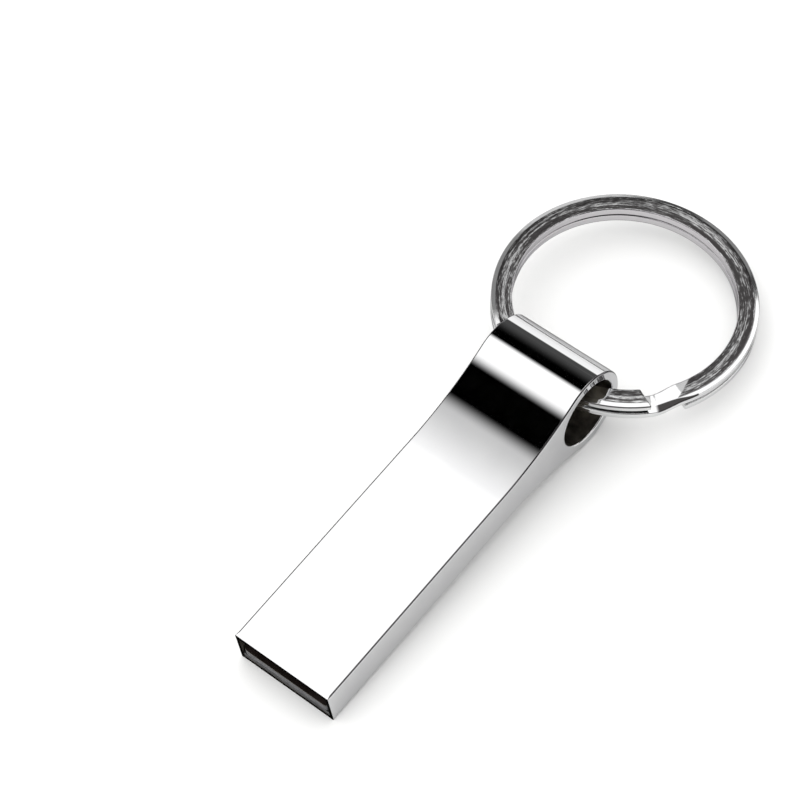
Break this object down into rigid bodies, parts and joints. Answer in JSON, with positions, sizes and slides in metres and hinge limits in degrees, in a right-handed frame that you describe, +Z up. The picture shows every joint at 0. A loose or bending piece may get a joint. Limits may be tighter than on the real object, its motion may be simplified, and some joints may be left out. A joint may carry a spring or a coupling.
{
  "type": "usb flash drive",
  "caption": "Metal pocket memory stick: a flat plug-in bar that flares into a round eye holding a split key ring.",
  "frame": {"origin": "on the plug's flat underside, on its centre line, 6 mm behind the open end", "axes": "+X along the drive from the plug's open end to the eye, +Y to the left, +Z up from the underside"},
  "size_m": [0.0687, 0.028, 0.01],
  "materials": {
    "plated_casing": "mirror plated zinc die casting with faint handling marks",
    "ring_wire": "nickel plated spring steel, tumbled, faintly mottled on the flat faces",
    "carrier_plastic": "black moulded plastic, fine matte",
    "adhesive_film": "thin adhesive film",
    "solder_mask": "dark solder mask over fine weave",
    "contact_gold": "gold plated, faint wipe marks",
    "mould_compound": "grey filled epoxy, fine matte grain",
    "silicon": "polished silicon",
    "die_film": "amber die-attach film",
    "chip_ceramic": "fired ceramic with tinned ends",
    "resistor_body": "dark glazed ceramic",
    "crystal_can": "small metal lid, satin"
  },
  "bodies": {
    "drive": {"casing": "plated_casing", "module_carrier": "carrier_plastic", "carrier_adhesive": "adhesive_film", "module_adhesive": "adhesive_film", "module_substrate": "solder_mask", "contact_vbus": "contact_gold", "contact_d_minus": "contact_gold", "contact_d_plus": "contact_gold", "contact_ground": "contact_gold", "epoxy_mould": "mould_compound", "controller_die": "silicon", "controller_film": "die_film", "memory_die_upper": "silicon", "memory_film_upper": "die_film", "memory_die_lower": "silicon", "memory_film_lower": "die_film", "crystal_resonator": "crystal_can", "capacitor_supply": "chip_ceramic", "capacitor_core": "chip_ceramic", "capacitor_flash": "chip_ceramic", "resistor_bias": "resistor_body"},
    "ring": {"key_ring": "ring_wire"}
  },
  "joints": [
    {"name": "key_ring_swing", "type": "hinge", "parent": "drive", "child": "ring", "pos_m": [0.0352, 0, 0.00225], "axis": [0, 1, 0], "range_deg": [-177, 160]}
  ]
}
